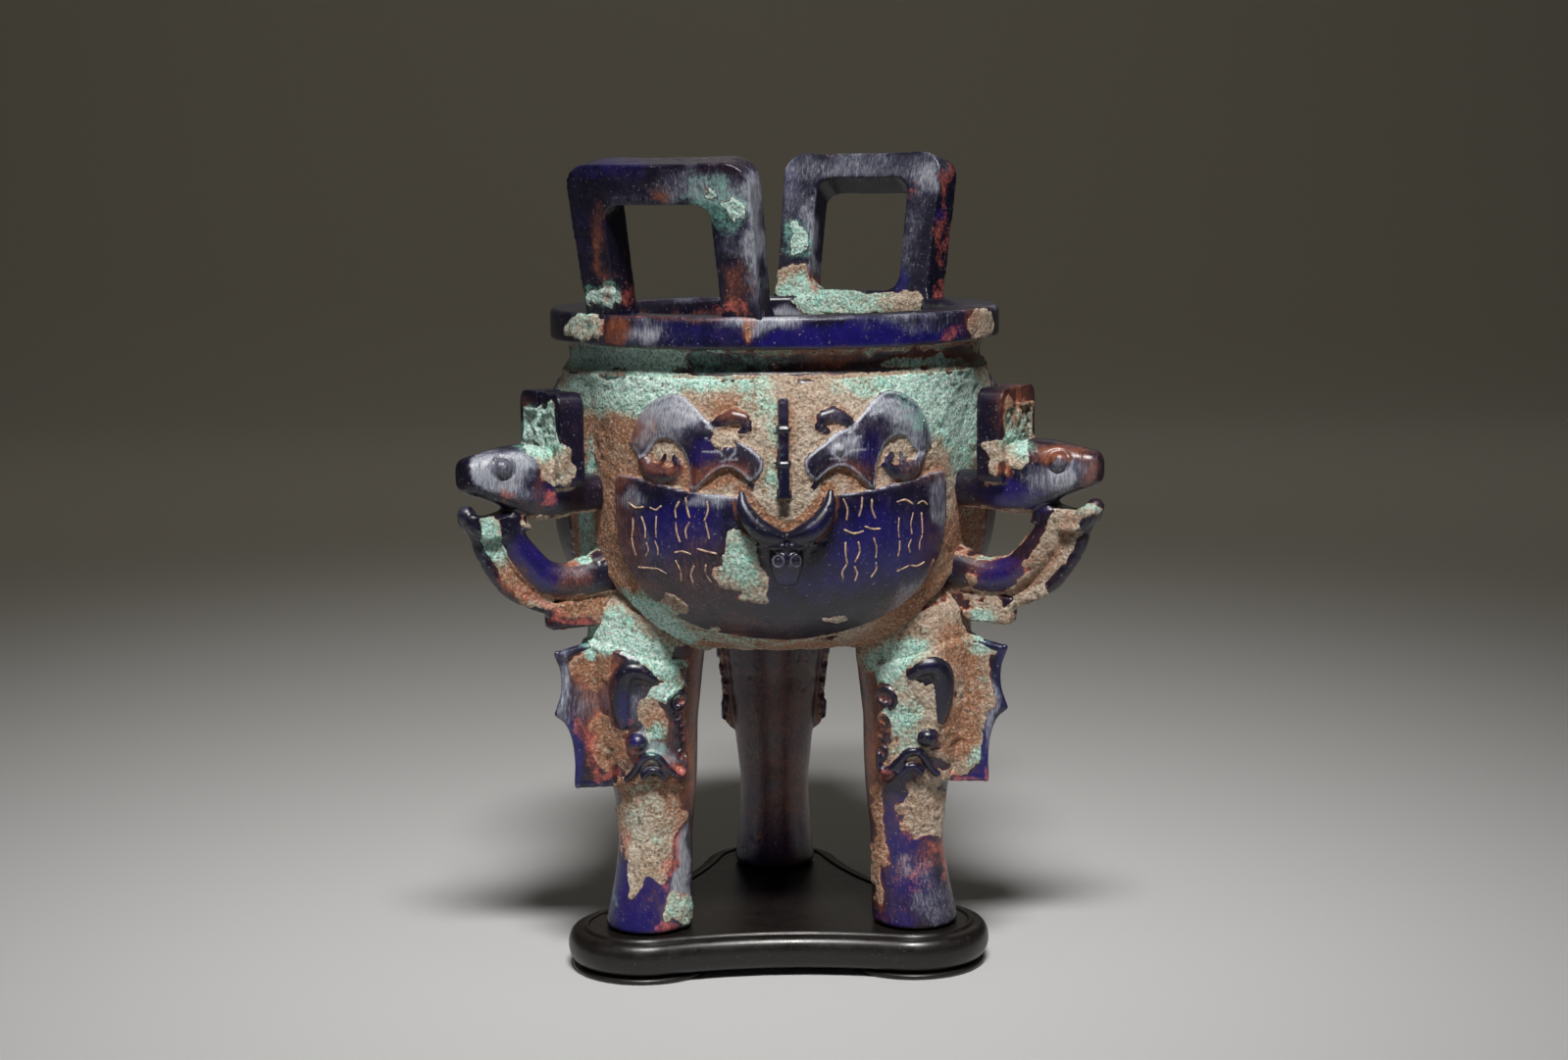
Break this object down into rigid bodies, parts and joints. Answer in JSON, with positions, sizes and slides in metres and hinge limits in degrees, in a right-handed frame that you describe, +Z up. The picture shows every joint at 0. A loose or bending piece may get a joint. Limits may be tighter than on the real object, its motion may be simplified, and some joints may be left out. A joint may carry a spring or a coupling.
{
  "type": "incense burner",
  "caption": "Cast cobalt glass tripod censer with square rim ears, dragon-head handles, carved masks on the legs and a heavy burial crust, on a black three-cornered wooden stand.",
  "frame": {"origin": "middle of the bounding box's base, where the stand's pads rest on the surface", "axes": "+Z up, -Y the front with the carved panel and the bull's head, +X to the right as seen from the front"},
  "size_m": [0.1756, 0.171, 0.2296],
  "materials": {
    "patinated_cobalt_glass": "deep cobalt blue cast glass, mostly covered by sandy, turquoise and rust-red burial crust",
    "black_lacquered_wood": "satin black lacquer"
  },
  "bodies": {
    "root": {"burner": "patinated_cobalt_glass", "stand": "black_lacquered_wood"}
  },
  "joints": []
}
